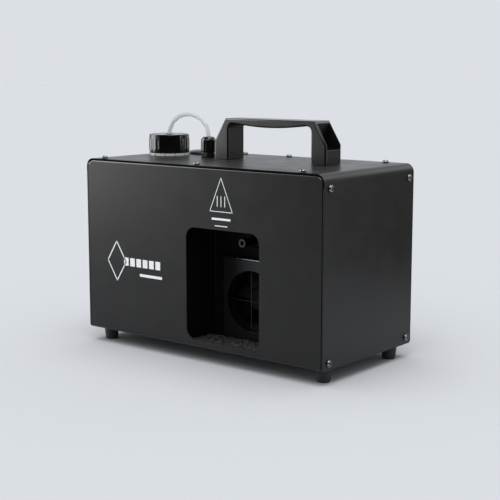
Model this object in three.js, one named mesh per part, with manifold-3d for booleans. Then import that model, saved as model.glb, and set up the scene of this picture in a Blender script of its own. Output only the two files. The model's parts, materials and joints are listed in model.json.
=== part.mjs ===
// A small tabletop haze machine: a folded steel case on four rubber feet, with a carrying
// handle, a fluid tank under a screw cap, a pump, a heater with its nozzle and a fan.
// Millimetres, +X to the right seen from the front, +Y to the rear, +Z up, feet on z = 0.
import * as THREE from "three";
import { mergeVertices } from "three/addons/utils/BufferGeometryUtils.js";
import Module from "manifold-3d";

const wasm = await Module();
wasm.setup();

// ---------------------------------------------------------------- driving dimensions
const CASE_WIDTH = 325;
const CASE_DEPTH = 162;
const CASE_HEIGHT = 192.5;
const FOOT_HEIGHT = 15;
const SHEET = 1.5;
const THIN_SHEET = 1.2;
const FIT = 0.3; // gap left between pieces that touch
const REAR_REACH = 10; // how far the fuse cap stands out behind the case

// The case frame: its centre is on x = y = 0, and the whole object is shifted at the end.
const RIGHT = CASE_WIDTH / 2;
const FRONT = -CASE_DEPTH / 2;
const REAR = CASE_DEPTH / 2;
const FLOOR = FOOT_HEIGHT;
const TOP = FLOOR + CASE_HEIGHT;
const COVER_BEND = 9;
const BASE_BEND = 4.5;
const PANEL_GAP = 0.8; // the line that shows between the front panel and the cover
const FLANGE = 18; // depth of the folded edges that the case screws bite into
const PANEL_RIGHT = RIGHT - SHEET - PANEL_GAP;
const PANEL_TOP = TOP - SHEET - PANEL_GAP;
const DECK = FLOOR + SHEET; // upper face of the base sheet
const REAR_INSIDE = REAR - SHEET; // inner face of the rear panel

// The outlet bay behind the window, and what stands in line with it.
const BAY_X = 35;
const WINDOW = { width: 98, low: 24, high: 143, corner: 11 };
const BAY = { halfWidth: 57, back: -24.5, roof: 146 };
const FAN = { z: 61.5, size: 70, depth: 25, bore: 33.2 };
const FAN_PLATE = { halfWidth: 38, front: -33, top: 106.5, hole: 33 };
const NOZZLE = { z: 126, tip: -48, radius: 4.5 };
const HEATER = { halfLength: 46, front: -17, back: 28, low: 110, high: 144 };

// Fluid path: the filler neck and cap, then the hose over to the gland and the pump.
const TUBE_Y = 12;
const CAP_X = -123;
const GLAND_X = -63;
const CAP = { radius: 23.4, low: 210.6, high: 231.7, bore: 19.4, plate: 2.5, hoseHole: 3.2 };
const NECK = { radius: 18.5, bore: 16.2, flange: 23.2, high: 226.5, low: 184 };
const TANK = { left: -156, right: -84, front: -62, back: 66, low: 16.8, high: 190, wall: 2 };
const GLAND = { radius: 8.6, seam: 213, shoulder: 224.5, high: 230.6 };
const HOSE_RADIUS = 2;
const PUMP = { x: GLAND_X, low: 62, high: 108, half: 19, bore: 4.3 };

// Handle, a hollow moulding screwed to the top of the case.
const HANDLE = { x: 33, length: 150, depth: 28, leg: 19.5, high: 252.5, shoulder: 228, slope: 15 };

// Screws. The rear row has two more than the front row.
const SCREW = { head: 3.7, height: 2.4, shaft: 1.8, length: 8, hole: 2.2 };
const TOP_ROW_INSET = 9;
const FRONT_ROW = { centre: -6, pitch: 137, count: 3 };
const REAR_ROW = { centre: 5, pitch: 64, count: 5 };
const SIDE_SCREW = { y: 71, low: 22.6, high: 193.3 };

// Rear panel fittings, each at its x and z.
const DISPLAY = { x: 95, z: 166, width: 62, height: 24 };
const BUTTONS = { x: 95, z: 134, pitch: 18, count: 4, radius: 4.5 };
const XLR = { outX: -40, inX: 0, z: 156, halfWidth: 13, halfHeight: 15.5 };
const INLET = { x: 112, z: 62, halfWidth: 13.5, halfHeight: 10 };
const FUSE = { x: 66, z: 62, radius: 6.2 };
const SWITCH = { x: 24, z: 62, halfWidth: 6.8, halfHeight: 10.8, tilt: 11 };
const VENTS = { x: -35, z: 78, width: 46, height: 4, pitch: 10, count: 7 };
const PLUG = { x: -103, y: 52, radius: 19, spigot: 16, high: 4 };

// ---------------------------------------------------------------- materials
function finish(color, roughness, metalness = 0) {
  return new THREE.MeshStandardMaterial({ color, roughness, metalness });
}

const BLACK_PAINT = finish(0x26282a, 0.55);
const GREY_PLASTIC = finish(0x2f3133, 0.5);
const BLACK_PLASTIC = finish(0x0c0d0e, 0.2);
const PALE_PLASTIC = finish(0xa9acae, 0.45);
const MILKY_PLASTIC = finish(0xdfe3df, 0.4);
const RUBBER = finish(0x151617, 0.85);
const STEEL = finish(0xc2c5c8, 0.3, 1);
const ALUMINIUM = finish(0xb4b7ba, 0.4, 1);
const BRASS = finish(0xc4a35a, 0.35, 1);
const FOAM = finish(0x3c3e40, 0.95);
const BOARD_GREEN = finish(0x1c5a3a, 0.5);
const LENS = finish(0x14202c, 0.12);

// ---------------------------------------------------------------- solids
// A manifold solid from a closed geometry; an inside-out one is turned the right way.
function toSolid(geometry) {
  const bare = geometry.index ? geometry.toNonIndexed() : geometry.clone();
  bare.deleteAttribute("normal");
  bare.deleteAttribute("uv");
  const merged = mergeVertices(bare, 1e-4);
  const at = merged.index.array;
  const kept = [];
  for (let i = 0; i < at.length; i += 3) {
    const [a, b, c] = [at[i], at[i + 1], at[i + 2]];
    if (a !== b && b !== c && c !== a) kept.push(a, b, c);
  }
  const build = (triangles) =>
    new wasm.Manifold(
      new wasm.Mesh({
        numProp: 3,
        vertProperties: merged.attributes.position.array,
        triVerts: new Uint32Array(triangles),
      }),
    );
  const solid = build(kept);
  return solid.volume() < 0 ? build(kept.reverse()) : solid;
}

function toGeometry(solid) {
  const mesh = solid.getMesh();
  const position = new Float32Array(mesh.numVert * 3);
  for (let i = 0; i < mesh.numVert; i++) {
    const from = i * mesh.numProp;
    position.set(mesh.vertProperties.subarray(from, from + 3), i * 3);
  }
  const geometry = new THREE.BufferGeometry();
  geometry.setAttribute("position", new THREE.BufferAttribute(position, 3));
  geometry.setIndex(new THREE.BufferAttribute(mesh.triVerts, 1));
  const flat = geometry.toNonIndexed();
  flat.computeVertexNormals();
  return flat;
}

function join(...solids) {
  return solids.reduce((whole, next) => whole.add(next));
}

function cut(solid, ...tools) {
  return tools.reduce((rest, tool) => rest.subtract(tool), solid);
}

function block(x0, x1, y0, y1, z0, z1) {
  const geometry = new THREE.BoxGeometry(x1 - x0, y1 - y0, z1 - z0);
  return toSolid(geometry.translate((x0 + x1) / 2, (y0 + y1) / 2, (z0 + z1) / 2));
}

// A cylinder along an axis, centred on the other two coordinates in X, Y, Z order.
function rod(axis, radius, from, to, a, b, sides = 16) {
  const geometry = new THREE.CylinderGeometry(radius, radius, to - from, sides);
  const middle = (from + to) / 2;
  if (axis === "x") geometry.rotateZ(-Math.PI / 2).translate(middle, a, b);
  if (axis === "y") geometry.translate(a, middle, b);
  if (axis === "z") geometry.rotateX(Math.PI / 2).translate(a, b, middle);
  return toSolid(geometry);
}

// A profile of [radius, height] points turned about +Z, or about +Y when it is to face the rear.
function turned(profile, sides, facing = "up") {
  const points = profile.map(([radius, height]) => new THREE.Vector2(radius, height));
  const geometry = new THREE.LatheGeometry(points, sides);
  if (facing === "up") geometry.rotateX(Math.PI / 2);
  return toSolid(geometry);
}

// An outline drawn in a plane and given thickness from one coordinate to another.
const AXES = [
  new THREE.Vector3(1, 0, 0),
  new THREE.Vector3(0, 1, 0),
  new THREE.Vector3(0, 0, 1),
];

function slab(shape, plane, from, to) {
  const geometry = new THREE.ExtrudeGeometry(shape, {
    depth: to - from,
    bevelEnabled: false,
    curveSegments: 6,
  });
  const [X, Y, Z] = AXES;
  if (plane === "xy") geometry.translate(0, 0, from);
  if (plane === "xz") {
    geometry.applyMatrix4(new THREE.Matrix4().makeBasis(X, Z, Y.clone().negate()));
    geometry.translate(0, to, 0);
  }
  if (plane === "yz") {
    geometry.applyMatrix4(new THREE.Matrix4().makeBasis(Y, Z, X));
    geometry.translate(from, 0, 0);
  }
  return toSolid(geometry);
}

function roundedRectangle(u0, u1, v0, v1, radius) {
  const [low, high] = Array.isArray(radius) ? radius : [radius, radius];
  const shape = new THREE.Shape();
  shape.moveTo(u0 + low, v0);
  shape.lineTo(u1 - low, v0);
  shape.absarc(u1 - low, v0 + low, low, -Math.PI / 2, 0);
  shape.absarc(u1 - high, v1 - high, high, 0, Math.PI / 2);
  shape.absarc(u0 + high, v1 - high, high, Math.PI / 2, Math.PI);
  shape.absarc(u0 + low, v0 + low, low, Math.PI, 1.5 * Math.PI);
  return shape;
}

// The section of a bent sheet. Its corners [u, v] run along the outer face, every bend turns
// left, and the thickness lies on the left.
function bentSheet(corners, bend, thickness, steps = 5) {
  const outer = [];
  const inner = [];
  corners.forEach((corner, i) => {
    const here = new THREE.Vector2(...corner);
    const before = new THREE.Vector2(...corners[Math.max(i - 1, 0)]);
    const after = new THREE.Vector2(...corners[Math.min(i + 1, corners.length - 1)]);
    const isEnd = i === 0 || i === corners.length - 1;
    const way = isEnd ? after.clone().sub(before) : here.clone().sub(before);
    const heading = way.angle();
    if (isEnd) {
      outer.push(here);
      const inward = new THREE.Vector2(-Math.sin(heading), Math.cos(heading));
      inner.push(here.clone().addScaledVector(inward, thickness));
      return;
    }
    const turn = after.clone().sub(here).angle() - heading;
    const bendAngle = (turn + 2 * Math.PI) % (2 * Math.PI);
    const back = bend * Math.tan(bendAngle / 2);
    const centre = here.clone().addScaledVector(way.normalize(), -back);
    centre.add(new THREE.Vector2(-Math.sin(heading), Math.cos(heading)).multiplyScalar(bend));
    for (let k = 0; k <= steps; k++) {
      const angle = heading - Math.PI / 2 + (bendAngle * k) / steps;
      const ray = new THREE.Vector2(Math.cos(angle), Math.sin(angle));
      outer.push(centre.clone().addScaledVector(ray, bend));
      inner.push(centre.clone().addScaledVector(ray, bend - thickness));
    }
  });
  return new THREE.Shape([...outer, ...inner.reverse()]);
}

function polygon(points) {
  return new THREE.Shape(points.map(([u, v]) => new THREE.Vector2(u, v)));
}

function hexagon(acrossCorners) {
  const points = [];
  for (let i = 0; i < 6; i++) {
    const angle = (i * Math.PI) / 3;
    points.push([(acrossCorners / 2) * Math.cos(angle), (acrossCorners / 2) * Math.sin(angle)]);
  }
  return polygon(points);
}

// A closed tube along a smooth curve through the points.
function tube(points, radius, steps, sides = 8) {
  const curve = new THREE.CatmullRomCurve3(points.map((p) => new THREE.Vector3(...p)));
  const ring = [];
  for (let i = 0; i < sides; i++) {
    const angle = (2 * Math.PI * i) / sides;
    ring.push([radius * Math.cos(angle), radius * Math.sin(angle)]);
  }
  const options = { steps, extrudePath: curve, bevelEnabled: false };
  return toSolid(new THREE.ExtrudeGeometry(polygon(ring), options));
}

function rowOf({ centre, pitch, count }) {
  return Array.from({ length: count }, (_, i) => centre + (i - (count - 1) / 2) * pitch);
}

// ---------------------------------------------------------------- the assembly
const hazeMachine = new THREE.Group();
const inCaseFrame = new THREE.Group();
inCaseFrame.position.y = -REAR_REACH / 2;
hazeMachine.add(inCaseFrame);

function addPiece(name, solid, material, position = [0, 0, 0], rotation = [0, 0, 0]) {
  const mesh = new THREE.Mesh(toGeometry(solid), material);
  mesh.name = name;
  mesh.position.set(...position);
  mesh.rotation.set(...rotation);
  inCaseFrame.add(mesh);
}

// ---------------------------------------------------------------- sheet-metal case
const topScrews = [
  ...rowOf(FRONT_ROW).map((x) => [x, FRONT + TOP_ROW_INSET]),
  ...rowOf(REAR_ROW).map((x) => [x, REAR - TOP_ROW_INSET]),
];
const sideScrews = [
  [-SIDE_SCREW.y, SIDE_SCREW.low],
  [-SIDE_SCREW.y, SIDE_SCREW.high],
  [SIDE_SCREW.y, SIDE_SCREW.low],
  [SIDE_SCREW.y, SIDE_SCREW.high],
];

function screwHoles() {
  const down = topScrews.map(([x, y]) => rod("z", SCREW.hole, TOP - 9, TOP + 2, x, y, 8));
  const across = sideScrews.map(([y, z]) => rod("x", SCREW.hole, -RIGHT - 2, RIGHT + 2, y, z, 8));
  return [...down, ...across];
}

// Front, base and the folded edges behind the front, bent from one sheet.
function frontBasePanel() {
  const section = bentSheet(
    [
      [FRONT + FLANGE, PANEL_TOP],
      [FRONT, PANEL_TOP],
      [FRONT, FLOOR],
      [REAR_INSIDE - FIT, FLOOR],
    ],
    BASE_BEND,
    SHEET,
  );
  const sheet = slab(section, "yz", -PANEL_RIGHT, PANEL_RIGHT);
  const sides = [-PANEL_RIGHT, PANEL_RIGHT - SHEET].map((x) =>
    block(x, x + SHEET, FRONT + 0.5, FRONT + FLANGE, FLOOR + 1, PANEL_TOP - 1),
  );
  const outline = roundedRectangle(-PANEL_RIGHT, PANEL_RIGHT, FLOOR, PANEL_TOP, [3, 7]);
  const trimmed = join(sheet, ...sides).intersect(slab(outline, "xz", FRONT - 1, REAR + 1));
  const windowHole = roundedRectangle(
    BAY_X - WINDOW.width / 2,
    BAY_X + WINDOW.width / 2,
    WINDOW.low,
    WINDOW.high,
    WINDOW.corner,
  );
  const softNose = frontBendTrim();
  return cut(trimmed, slab(windowHole, "xz", FRONT - 5, FRONT + 5), softNose, ...screwHoles());
}

// Keeps the folded side edges inside the round bend between the front and the base.
function frontBendTrim() {
  const [y, z] = [FRONT + BASE_BEND, FLOOR + BASE_BEND];
  const corner = block(-RIGHT - 1, RIGHT + 1, FRONT - 2, y, FLOOR - 2, z);
  return cut(corner, rod("x", BASE_BEND, -RIGHT - 2, RIGHT + 2, y, z, 40));
}

function rearPanel() {
  const outline = roundedRectangle(-RIGHT, RIGHT, FLOOR, TOP, [3, COVER_BEND]);
  const plate = slab(outline, "xz", REAR_INSIDE, REAR);
  const inner = REAR - FLANGE;
  const side = PANEL_RIGHT - SHEET;
  const lipEnd = RIGHT - COVER_BEND - 1;
  const lip = block(-lipEnd, lipEnd, inner, REAR_INSIDE + 0.1, PANEL_TOP - SHEET, PANEL_TOP);
  const edges = [-PANEL_RIGHT, side].map((x) =>
    block(x, x + SHEET, inner, REAR_INSIDE + 0.1, DECK + FIT, PANEL_TOP - 8),
  );
  const slots = Array.from({ length: VENTS.count }, (_, i) => {
    const z = VENTS.z + (i - (VENTS.count - 1) / 2) * VENTS.pitch;
    const [u0, u1] = [VENTS.x - VENTS.width / 2, VENTS.x + VENTS.width / 2];
    return block(u0, u1, REAR_INSIDE - 1, REAR + 1, z - VENTS.height / 2, z + VENTS.height / 2);
  });
  const opening = (x, z, halfWidth, halfHeight) => {
    const [w, h] = [halfWidth + FIT, halfHeight + FIT];
    return block(x - w, x + w, REAR_INSIDE - 1, REAR + 1, z - h, z + h);
  };
  const round = (x, z, radius) => rod("y", radius, REAR_INSIDE - 1, REAR + 1, x, z, 16);
  return cut(
    join(plate, lip, ...edges),
    ...slots,
    opening(DISPLAY.x, DISPLAY.z, DISPLAY.width / 2, DISPLAY.height / 2),
    opening(INLET.x, INLET.z, INLET.halfWidth, INLET.halfHeight),
    opening(SWITCH.x, SWITCH.z, SWITCH.halfWidth, SWITCH.halfHeight),
    round(FUSE.x, FUSE.z, FUSE.radius + FIT),
    round(XLR.outX, XLR.z, 12),
    round(XLR.inX, XLR.z, 12),
    ...rowOf({ ...BUTTONS, centre: BUTTONS.x }).map((x) => round(x, BUTTONS.z, BUTTONS.radius + 0.5)),
    ...screwHoles(),
  );
}

function topCover() {
  const section = bentSheet(
    [
      [RIGHT, FLOOR + FIT],
      [RIGHT, TOP],
      [-RIGHT, TOP],
      [-RIGHT, FLOOR + FIT],
    ],
    COVER_BEND,
    SHEET,
  );
  const sheet = slab(section, "xz", FRONT + 0.2, REAR_INSIDE - FIT);
  const legX = HANDLE.length / 2 - HANDLE.leg / 2;
  return cut(
    sheet,
    frontBendTrim(),
    rod("z", NECK.radius + 0.6, TOP - 5, TOP + 5, CAP_X, TUBE_Y, 24),
    rod("z", 6.6, TOP - 5, TOP + 5, GLAND_X, TUBE_Y, 16),
    rod("z", PLUG.spigot + 0.5, TOP - 5, TOP + 5, PLUG.x, PLUG.y, 20),
    ...[-legX, legX].map((x) => rod("z", 2.6, TOP - 5, TOP + 5, HANDLE.x + x, TUBE_Y, 12)),
    ...screwHoles(),
  );
}

// A pan-head screw, head above z = 0 and shaft below.
function caseScrew() {
  const profile = [
    [0, -SCREW.length],
    [SCREW.shaft, -SCREW.length],
    [SCREW.shaft, 0],
    [SCREW.head, 0],
    [SCREW.head * 0.92, SCREW.height * 0.55],
    [SCREW.head * 0.6, SCREW.height * 0.92],
    [0, SCREW.height],
  ];
  return turned(profile, 10);
}

function foot() {
  const profile = [
    [0, 6],
    [3.6, 6],
    [3.6, 0],
    [6.6, 0],
    [7.25, 0.8],
    [8.5, FOOT_HEIGHT - FIT],
    [0, FOOT_HEIGHT - FIT],
  ];
  return turned(profile, 16);
}

addPiece("front_base_panel", frontBasePanel(), BLACK_PAINT);
addPiece("rear_panel", rearPanel(), BLACK_PAINT);
addPiece("top_cover", topCover(), BLACK_PAINT);

topScrews.forEach(([x, y], i) => {
  const inFront = i < FRONT_ROW.count;
  const name = inFront ? `top_screw_front_${i + 1}` : `top_screw_rear_${i + 1 - FRONT_ROW.count}`;
  addPiece(name, caseScrew(), STEEL, [x, y, TOP + FIT]);
});
for (const [side, sign] of [
  ["left", -1],
  ["right", 1],
]) {
  sideScrews.forEach(([y, z], i) => {
    const place = [sign * (RIGHT + FIT), y, z];
    addPiece(`side_screw_${side}_${i + 1}`, caseScrew(), STEEL, place, [0, (sign * Math.PI) / 2, 0]);
  });
}
for (const [end, y] of [
  ["front", -60],
  ["rear", 60],
]) {
  for (const [side, x] of [
    ["left", -149],
    ["right", 149],
  ]) {
    addPiece(`foot_${end}_${side}`, foot(), RUBBER, [x, y, 0]);
  }
}

// ---------------------------------------------------------------- handle
// The arch seen from the front: upright ends that slope in towards a straight grip, whose
// underside sags a little in the middle.
function handle() {
  const { length, depth, leg, high, shoulder, slope } = HANDLE;
  const foot = TOP + FIT;
  const end = length / 2;
  const inside = end - leg;
  const grip = high - 6;
  const corner = 7;
  const shape = new THREE.Shape();
  shape.moveTo(-end, foot);
  shape.lineTo(-inside, foot);
  shape.lineTo(-inside, grip - corner);
  shape.quadraticCurveTo(-inside, grip, -inside + corner, grip);
  shape.quadraticCurveTo(0, grip - 6.5, inside - corner, grip);
  shape.quadraticCurveTo(inside, grip, inside, grip - corner);
  shape.lineTo(inside, foot);
  shape.lineTo(end, foot);
  shape.lineTo(end, shoulder);
  shape.lineTo(end - slope, high);
  shape.lineTo(slope - end, high);
  shape.lineTo(-end, shoulder);
  const front = TUBE_Y - depth / 2;
  const solid = slab(shape, "xz", front, front + depth);
  return cut(solid, endPocket(1), endPocket(-1));
}

// Each sloping end is an open pocket between the thin front and rear walls.
function endPocket(sign) {
  const { length, depth, leg, high, shoulder, slope } = HANDLE;
  const end = length / 2;
  const wall = end - leg + 3;
  const wallY = depth / 2 - 2.4;
  const outline = polygon([
    [sign * wall, shoulder - 5],
    [sign * (end + 2), shoulder - 5],
    [sign * (end + 2), high - 3],
    [sign * wall, high - 3],
  ]);
  const pocket = slab(outline, "xz", TUBE_Y - wallY, TUBE_Y + wallY);
  const roofLine = end - slope + 1.5;
  return cut(pocket, block(-roofLine, roofLine, -depth, depth * 2, high - 4.2, high));
}

const legHole = HANDLE.length / 2 - HANDLE.leg / 2;
const pilotHoles = [-legHole, legHole].map((x) => rod("z", 1.9, TOP - 1, TOP + 12, x, TUBE_Y, 10));
addPiece("handle", cut(handle(), ...pilotHoles), GREY_PLASTIC, [HANDLE.x, 0, 0]);

// ---------------------------------------------------------------- tank, neck and cap
function tank() {
  const { left, right, front, back, low, high, wall } = TANK;
  const outer = slab(roundedRectangle(left, right, front, back, 10), "xy", low, high);
  const [l, r, f, b] = [left + wall, right - wall, front + wall, back - wall];
  const inner = slab(roundedRectangle(l, r, f, b, 8), "xy", low + wall, high - wall);
  return cut(outer, inner, rod("z", NECK.radius + FIT, high - 5, high + 5, CAP_X, TUBE_Y, 24));
}

// The threaded filler neck, whose notched flange rests on the case.
function fillerNeck() {
  const flangeLow = TOP + FIT;
  const flangeHigh = CAP.low - FIT;
  const profile = [
    [NECK.bore, NECK.low],
    [NECK.radius, NECK.low],
    [NECK.radius, flangeLow],
    [NECK.flange, flangeLow],
    [NECK.flange, flangeHigh],
    [NECK.radius, flangeHigh],
    [NECK.radius, NECK.high],
    [NECK.bore, NECK.high],
    [NECK.bore, NECK.low],
  ];
  const notchCount = 12;
  const notches = Array.from({ length: notchCount }, (_, i) => {
    const angle = ((i + 0.5) * 2 * Math.PI) / notchCount;
    const geometry = new THREE.BoxGeometry(2.4, 1.1, 4);
    geometry.translate(NECK.flange, 0, (flangeLow + flangeHigh) / 2);
    return toSolid(geometry.rotateZ(angle));
  });
  return cut(turned(profile, 24), ...notches);
}

function capRing() {
  const { radius, low, high, bore, plate, hoseHole } = CAP;
  const profile = [
    [bore, low],
    [radius - 0.8, low],
    [radius, low + 0.8],
    [radius, high - 2],
    [radius - 2, high],
    [hoseHole, high],
    [hoseHole, high - plate],
    [bore, high - plate],
    [bore, low],
  ];
  return turned(profile, 24);
}

function capLiner() {
  const low = NECK.high + FIT;
  const high = CAP.high - CAP.plate - FIT;
  const profile = [
    [HOSE_RADIUS + 0.4, low],
    [NECK.radius, low],
    [NECK.radius, high],
    [HOSE_RADIUS + 0.4, high],
    [HOSE_RADIUS + 0.4, low],
  ];
  return turned(profile, 20);
}

addPiece("tank", tank(), MILKY_PLASTIC);
addPiece("filler_neck", fillerNeck(), PALE_PLASTIC, [CAP_X, TUBE_Y, 0]);
addPiece("cap_ring", capRing(), BLACK_PLASTIC, [CAP_X, TUBE_Y, 0]);
addPiece("cap_liner", capLiner(), RUBBER, [CAP_X, TUBE_Y, 0]);

// ---------------------------------------------------------------- hose, gland and tubes
const HOSE_START = 222;
const HOSE_END = 224;
const hosePath = [
  [-123, HOSE_START],
  [-123, 228],
  [-123, 233],
  [-122.4, 236.8],
  [-120.7, 240.8],
  [-117.3, 244.9],
  [-112.5, 248.6],
  [-106.6, 251.5],
  [-100, 253.1],
  [-93, 253.4],
  [-86, 252.3],
  [-79.2, 249.4],
  [-73, 245],
  [-68, 239.8],
  [-64.7, 235],
  [-63.2, 230.6],
  [-63, HOSE_END],
].map(([x, z]) => [x, TUBE_Y, z]);

function glandBody() {
  const { seam } = GLAND;
  const base = slab(hexagon(17.6), "xy", TOP + FIT, seam);
  const spigot = rod("z", 5, seam - 0.5, seam + 8, 0, 0, 16);
  const stem = rod("z", 6.2, TOP - 11, TOP + FIT + 0.5, 0, 0, 16);
  return cut(join(base, spigot, stem), rod("z", HOSE_RADIUS + 0.5, TOP - 20, TOP + 40, 0, 0, 12));
}

function glandNut() {
  const { radius, seam, shoulder, high } = GLAND;
  const hole = HOSE_RADIUS + 0.5;
  const low = seam + FIT;
  const profile = [
    [5.5, low],
    [radius, low],
    [radius, shoulder],
    [radius - 0.6, shoulder + 3.2],
    [radius - 2.4, high],
    [hole, high],
    [hole, seam + 9],
    [5.5, seam + 9],
    [5.5, low],
  ];
  return turned(profile, 16);
}

function glandLocknut() {
  const high = TOP - SHEET - FIT;
  return cut(slab(hexagon(19), "xy", high - 4, high), rod("z", 6.6, high - 6, high + 2, 0, 0, 16));
}

addPiece("feed_hose", tube(hosePath, HOSE_RADIUS, 22), MILKY_PLASTIC);
addPiece("gland_body", glandBody(), BLACK_PLASTIC, [GLAND_X, TUBE_Y, 0]);
addPiece("gland_nut", glandNut(), BLACK_PLASTIC, [GLAND_X, TUBE_Y, 0]);
addPiece("gland_locknut", glandLocknut(), BLACK_PLASTIC, [GLAND_X, TUBE_Y, 0]);

const PUMP_INLET = 130;
const PUMP_OUTLET = 50;
const pickupTube = rod("z", HOSE_RADIUS, 26, HOSE_START - FIT, CAP_X, TUBE_Y, 10);
const pumpFeed = rod("z", HOSE_RADIUS, PUMP_INLET + FIT, HOSE_END - FIT, GLAND_X, TUBE_Y, 10);
addPiece("pickup_tube", pickupTube, MILKY_PLASTIC);
addPiece("pump_feed_tube", pumpFeed, MILKY_PLASTIC);

// ---------------------------------------------------------------- pump
function pumpBody() {
  const { low, high, half, bore } = PUMP;
  const coil = slab(roundedRectangle(-half, half, 1 - half, half - 1, 4), "xy", low, high);
  const ends = [rod("z", 7, PUMP_OUTLET, low + 1, 0, 0), rod("z", 7, high - 1, high + 12, 0, 0)];
  const barb = rod("z", 3.4, high + 11, PUMP_INLET, 0, 0, 12);
  const through = rod("z", 1.2, PUMP_OUTLET - 2, PUMP_INLET + 2, 0, 0, 10);
  return cut(join(coil, ...ends, barb), through, rod("z", bore, low + 4, high - 4, 0, 0));
}

const pumpMiddle = (PUMP.low + PUMP.high) / 2;
const pistonRod = rod("z", PUMP.bore - 0.4, pumpMiddle - 13, pumpMiddle + 13, 0, 0);
addPiece("pump_body", pumpBody(), BLACK_PLASTIC, [PUMP.x, TUBE_Y, 0]);
addPiece("pump_piston", pistonRod, STEEL, [PUMP.x, TUBE_Y, 0]);

const HEATER_END = BAY_X - HEATER.halfLength;
const outletPath = [
  [PUMP.x, PUMP_OUTLET - FIT],
  [PUMP.x, 42],
  [PUMP.x + 3, 33],
  [PUMP.x + 12, 28.5],
  [-43, 31],
  [-37, 39],
  [-36, 50],
  [-36, 80],
  [-36, 108],
  [-34, 119],
  [-27, 126],
  [-18, 127],
  [HEATER_END - FIT, 127],
].map(([x, z]) => [x, TUBE_Y, z]);
addPiece("pump_outlet_tube", tube(outletPath, HOSE_RADIUS, 20), MILKY_PLASTIC);

// ---------------------------------------------------------------- heater and nozzle
function heaterBlock() {
  const { halfLength, front, back, low, high } = HEATER;
  const core = slab(roundedRectangle(front, back, low, high, 3), "yz", -halfLength, halfLength);
  const posts = [-26, 0, 26].map((x) => rod("z", 4, high - 1, high + 10, x, (front + back) / 2, 12));
  return join(core, ...posts);
}

function heaterBracket() {
  const reach = HEATER.halfLength - 2;
  const high = HEATER.low - FIT;
  const section = bentSheet(
    [
      [reach, DECK + FIT],
      [reach, high],
      [-reach, high],
      [-reach, DECK + FIT],
    ],
    4,
    THIN_SHEET,
  );
  return slab(section, "xz", HEATER.front + 4, HEATER.back - 4);
}

// Turned about +Z with its foot at 0; the assembly lays it down to point forward.
function nozzle() {
  const length = HEATER.front - FIT - NOZZLE.tip;
  const { radius } = NOZZLE;
  const profile = [
    [1.2, 0],
    [6.5, 0],
    [6.5, 9],
    [radius, 10],
    [radius, length - 1],
    [radius - 1, length],
    [2.2, length],
    [1.2, length - 3],
    [1.2, 0],
  ];
  return turned(profile, 16);
}

addPiece("heater_block", heaterBlock(), ALUMINIUM, [BAY_X, 0, 0]);
addPiece("heater_bracket", heaterBracket(), STEEL, [BAY_X, 0, 0]);
const nozzlePlace = [BAY_X, HEATER.front - FIT, NOZZLE.z];
addPiece("nozzle", nozzle(), BRASS, nozzlePlace, [Math.PI / 2, 0, 0]);

// ---------------------------------------------------------------- fan and outlet bay
const FAN_FRONT = BAY.back + THIN_SHEET + FIT;
const FAN_BACK = FAN_FRONT + FAN.depth;

function fanFrame() {
  const half = FAN.size / 2;
  const shell = slab(roundedRectangle(-half, half, -half, half, 4), "xz", FAN_FRONT, FAN_BACK);
  const struts = [0, 1, 2].map((i) => {
    const geometry = new THREE.BoxGeometry(FAN.bore + 1, 3, 3.4);
    geometry.translate(FAN.bore / 2, FAN_BACK - 1.5, 0);
    return toSolid(geometry.rotateY((i * 2 * Math.PI) / 3 + 0.5));
  });
  const motor = rod("y", 13, FAN_BACK - 3, FAN_BACK, 0, 0, 20);
  const corners = [-1, 1].flatMap((sx) =>
    [-1, 1].map((sz) => rod("y", 2, FAN_FRONT - 1, FAN_BACK + 1, sx * 30, sz * 30, 8)),
  );
  const bored = cut(shell, rod("y", FAN.bore, FAN_FRONT - 1, FAN_BACK + 1, 0, 0, 28), ...corners);
  return join(bored, motor, ...struts);
}

function fanRotor() {
  const bladeCount = 7;
  const hubRadius = 13.5;
  const tip = 31.8;
  const middle = (FAN_FRONT + FAN_BACK - 4) / 2;
  const hub = rod("y", hubRadius, FAN_FRONT + 1.5, FAN_BACK - 4, 0, 0, 24);
  const blades = Array.from({ length: bladeCount }, (_, i) => {
    const geometry = new THREE.BoxGeometry(tip - hubRadius + 2, 19, 1.4, 2, 1, 1);
    geometry.rotateX((42 * Math.PI) / 180);
    geometry.translate((tip + hubRadius - 2) / 2, 0, 0);
    geometry.rotateY((i * 2 * Math.PI) / bladeCount);
    return toSolid(geometry.translate(0, middle, 0));
  });
  return join(hub, ...blades);
}

// Stands in front of the fan, folded back along its top edge, with a cross in its hole.
function fanPlate() {
  const { halfWidth, front, top, hole } = FAN_PLATE;
  const lowest = DECK + FIT;
  const section = bentSheet(
    [
      [BAY.back - FIT, top],
      [front, top],
      [front, lowest],
    ],
    1.6,
    THIN_SHEET,
  );
  const plate = slab(section, "yz", -halfWidth, halfWidth);
  const bored = cut(plate, rod("y", hole, front - 1, front + 3, 0, FAN.z, 28));
  const bar = 0.9;
  const [near, far] = [front + 0.1, front + THIN_SHEET];
  const upright = block(-bar, bar, near, far, FAN.z - hole - 1, FAN.z + hole + 1);
  const level = block(-hole - 1, hole + 1, near, far, FAN.z - bar, FAN.z + bar);
  return join(bored, upright, level);
}

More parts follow.
